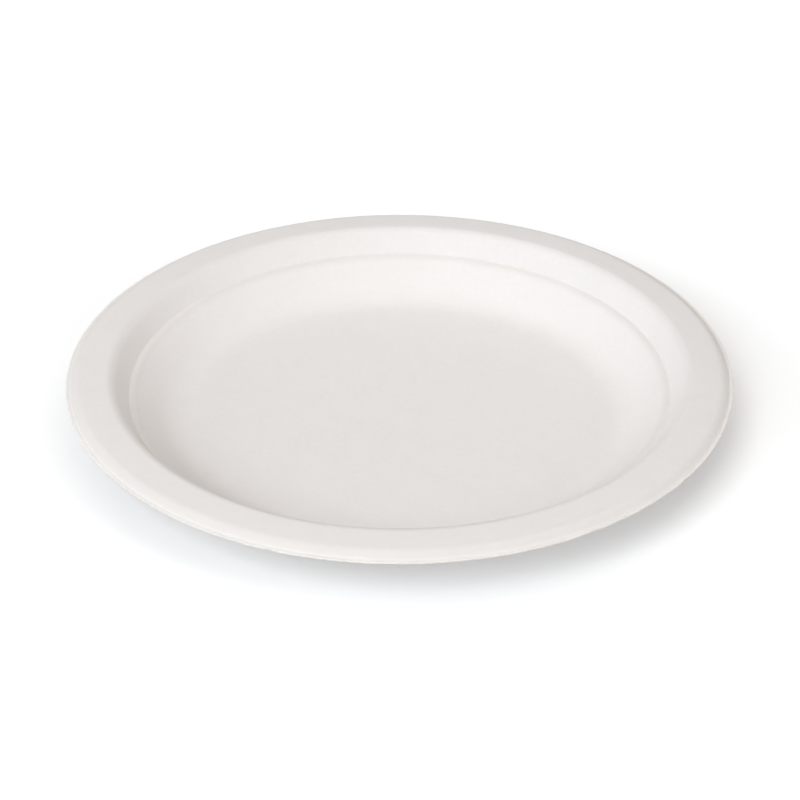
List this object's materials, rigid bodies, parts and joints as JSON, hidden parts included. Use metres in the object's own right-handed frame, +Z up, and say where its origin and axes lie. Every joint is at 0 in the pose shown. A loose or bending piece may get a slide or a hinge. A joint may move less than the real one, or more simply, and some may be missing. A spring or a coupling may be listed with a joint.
{
  "type": "paper plate",
  "caption": "Round moulded-fibre paper plate: flat floor, sloping wall with a stacking shoulder, flat flange and a turned-down rim that ends in a narrow trimmed lip.",
  "frame": {"origin": "centre of the underside of the floor, on the table that the plate stands on", "axes": "+Z up out of the dish along the plate's axis; X and Y are any two directions across it, as the plate is round"},
  "size_m": [0.225, 0.225, 0.0198],
  "materials": {
    "fibre": "matt pressed plant fibre, off-white"
  },
  "bodies": {
    "root": {"plate": "fibre"}
  },
  "joints": []
}
